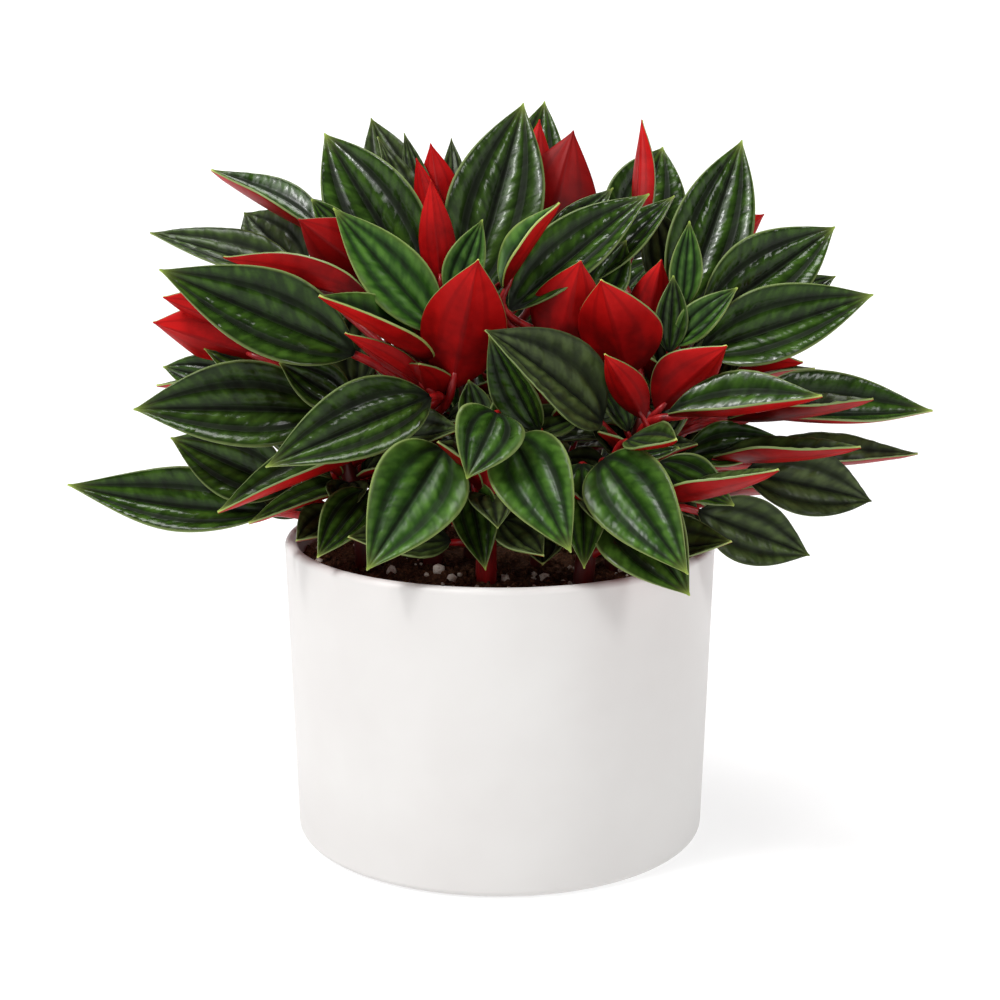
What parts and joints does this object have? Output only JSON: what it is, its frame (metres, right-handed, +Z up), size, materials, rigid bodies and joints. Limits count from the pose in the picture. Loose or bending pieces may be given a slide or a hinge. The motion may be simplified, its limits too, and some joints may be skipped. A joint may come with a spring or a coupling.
{
  "type": "potted peperomia",
  "caption": "Bushy peperomia with pointed ribbed leaves, green above and red beneath, standing in soil in a plain white cylindrical pot.",
  "frame": {"origin": "centre of the pot's flat foot, on the surface it stands on", "axes": "+Z up along the pot's axis, +X to the right across the widest spread of leaves, and the side seen first faces -Y"},
  "size_m": [0.2592, 0.1832, 0.2192],
  "materials": {
    "pot": "satin white glaze",
    "soil": "matte moist potting mix of peat and bark with pale mineral grains",
    "foliage": "satin living leaves, green above and red beneath, with red stalks"
  },
  "bodies": {
    "root": {"pot": "pot", "soil": "soil", "leafy_stem_left": "foliage", "leafy_stem_crest": "foliage", "leafy_stem_right": "foliage", "leafy_stem_shoulder": "foliage", "leafy_stem_middle": "foliage", "leafy_stem_front": "foliage", "leafy_stem_front_right": "foliage", "leafy_stem_low_left": "foliage", "leafy_stem_back_left": "foliage", "leafy_stem_back": "foliage", "leafy_stem_back_right": "foliage"}
  },
  "joints": []
}
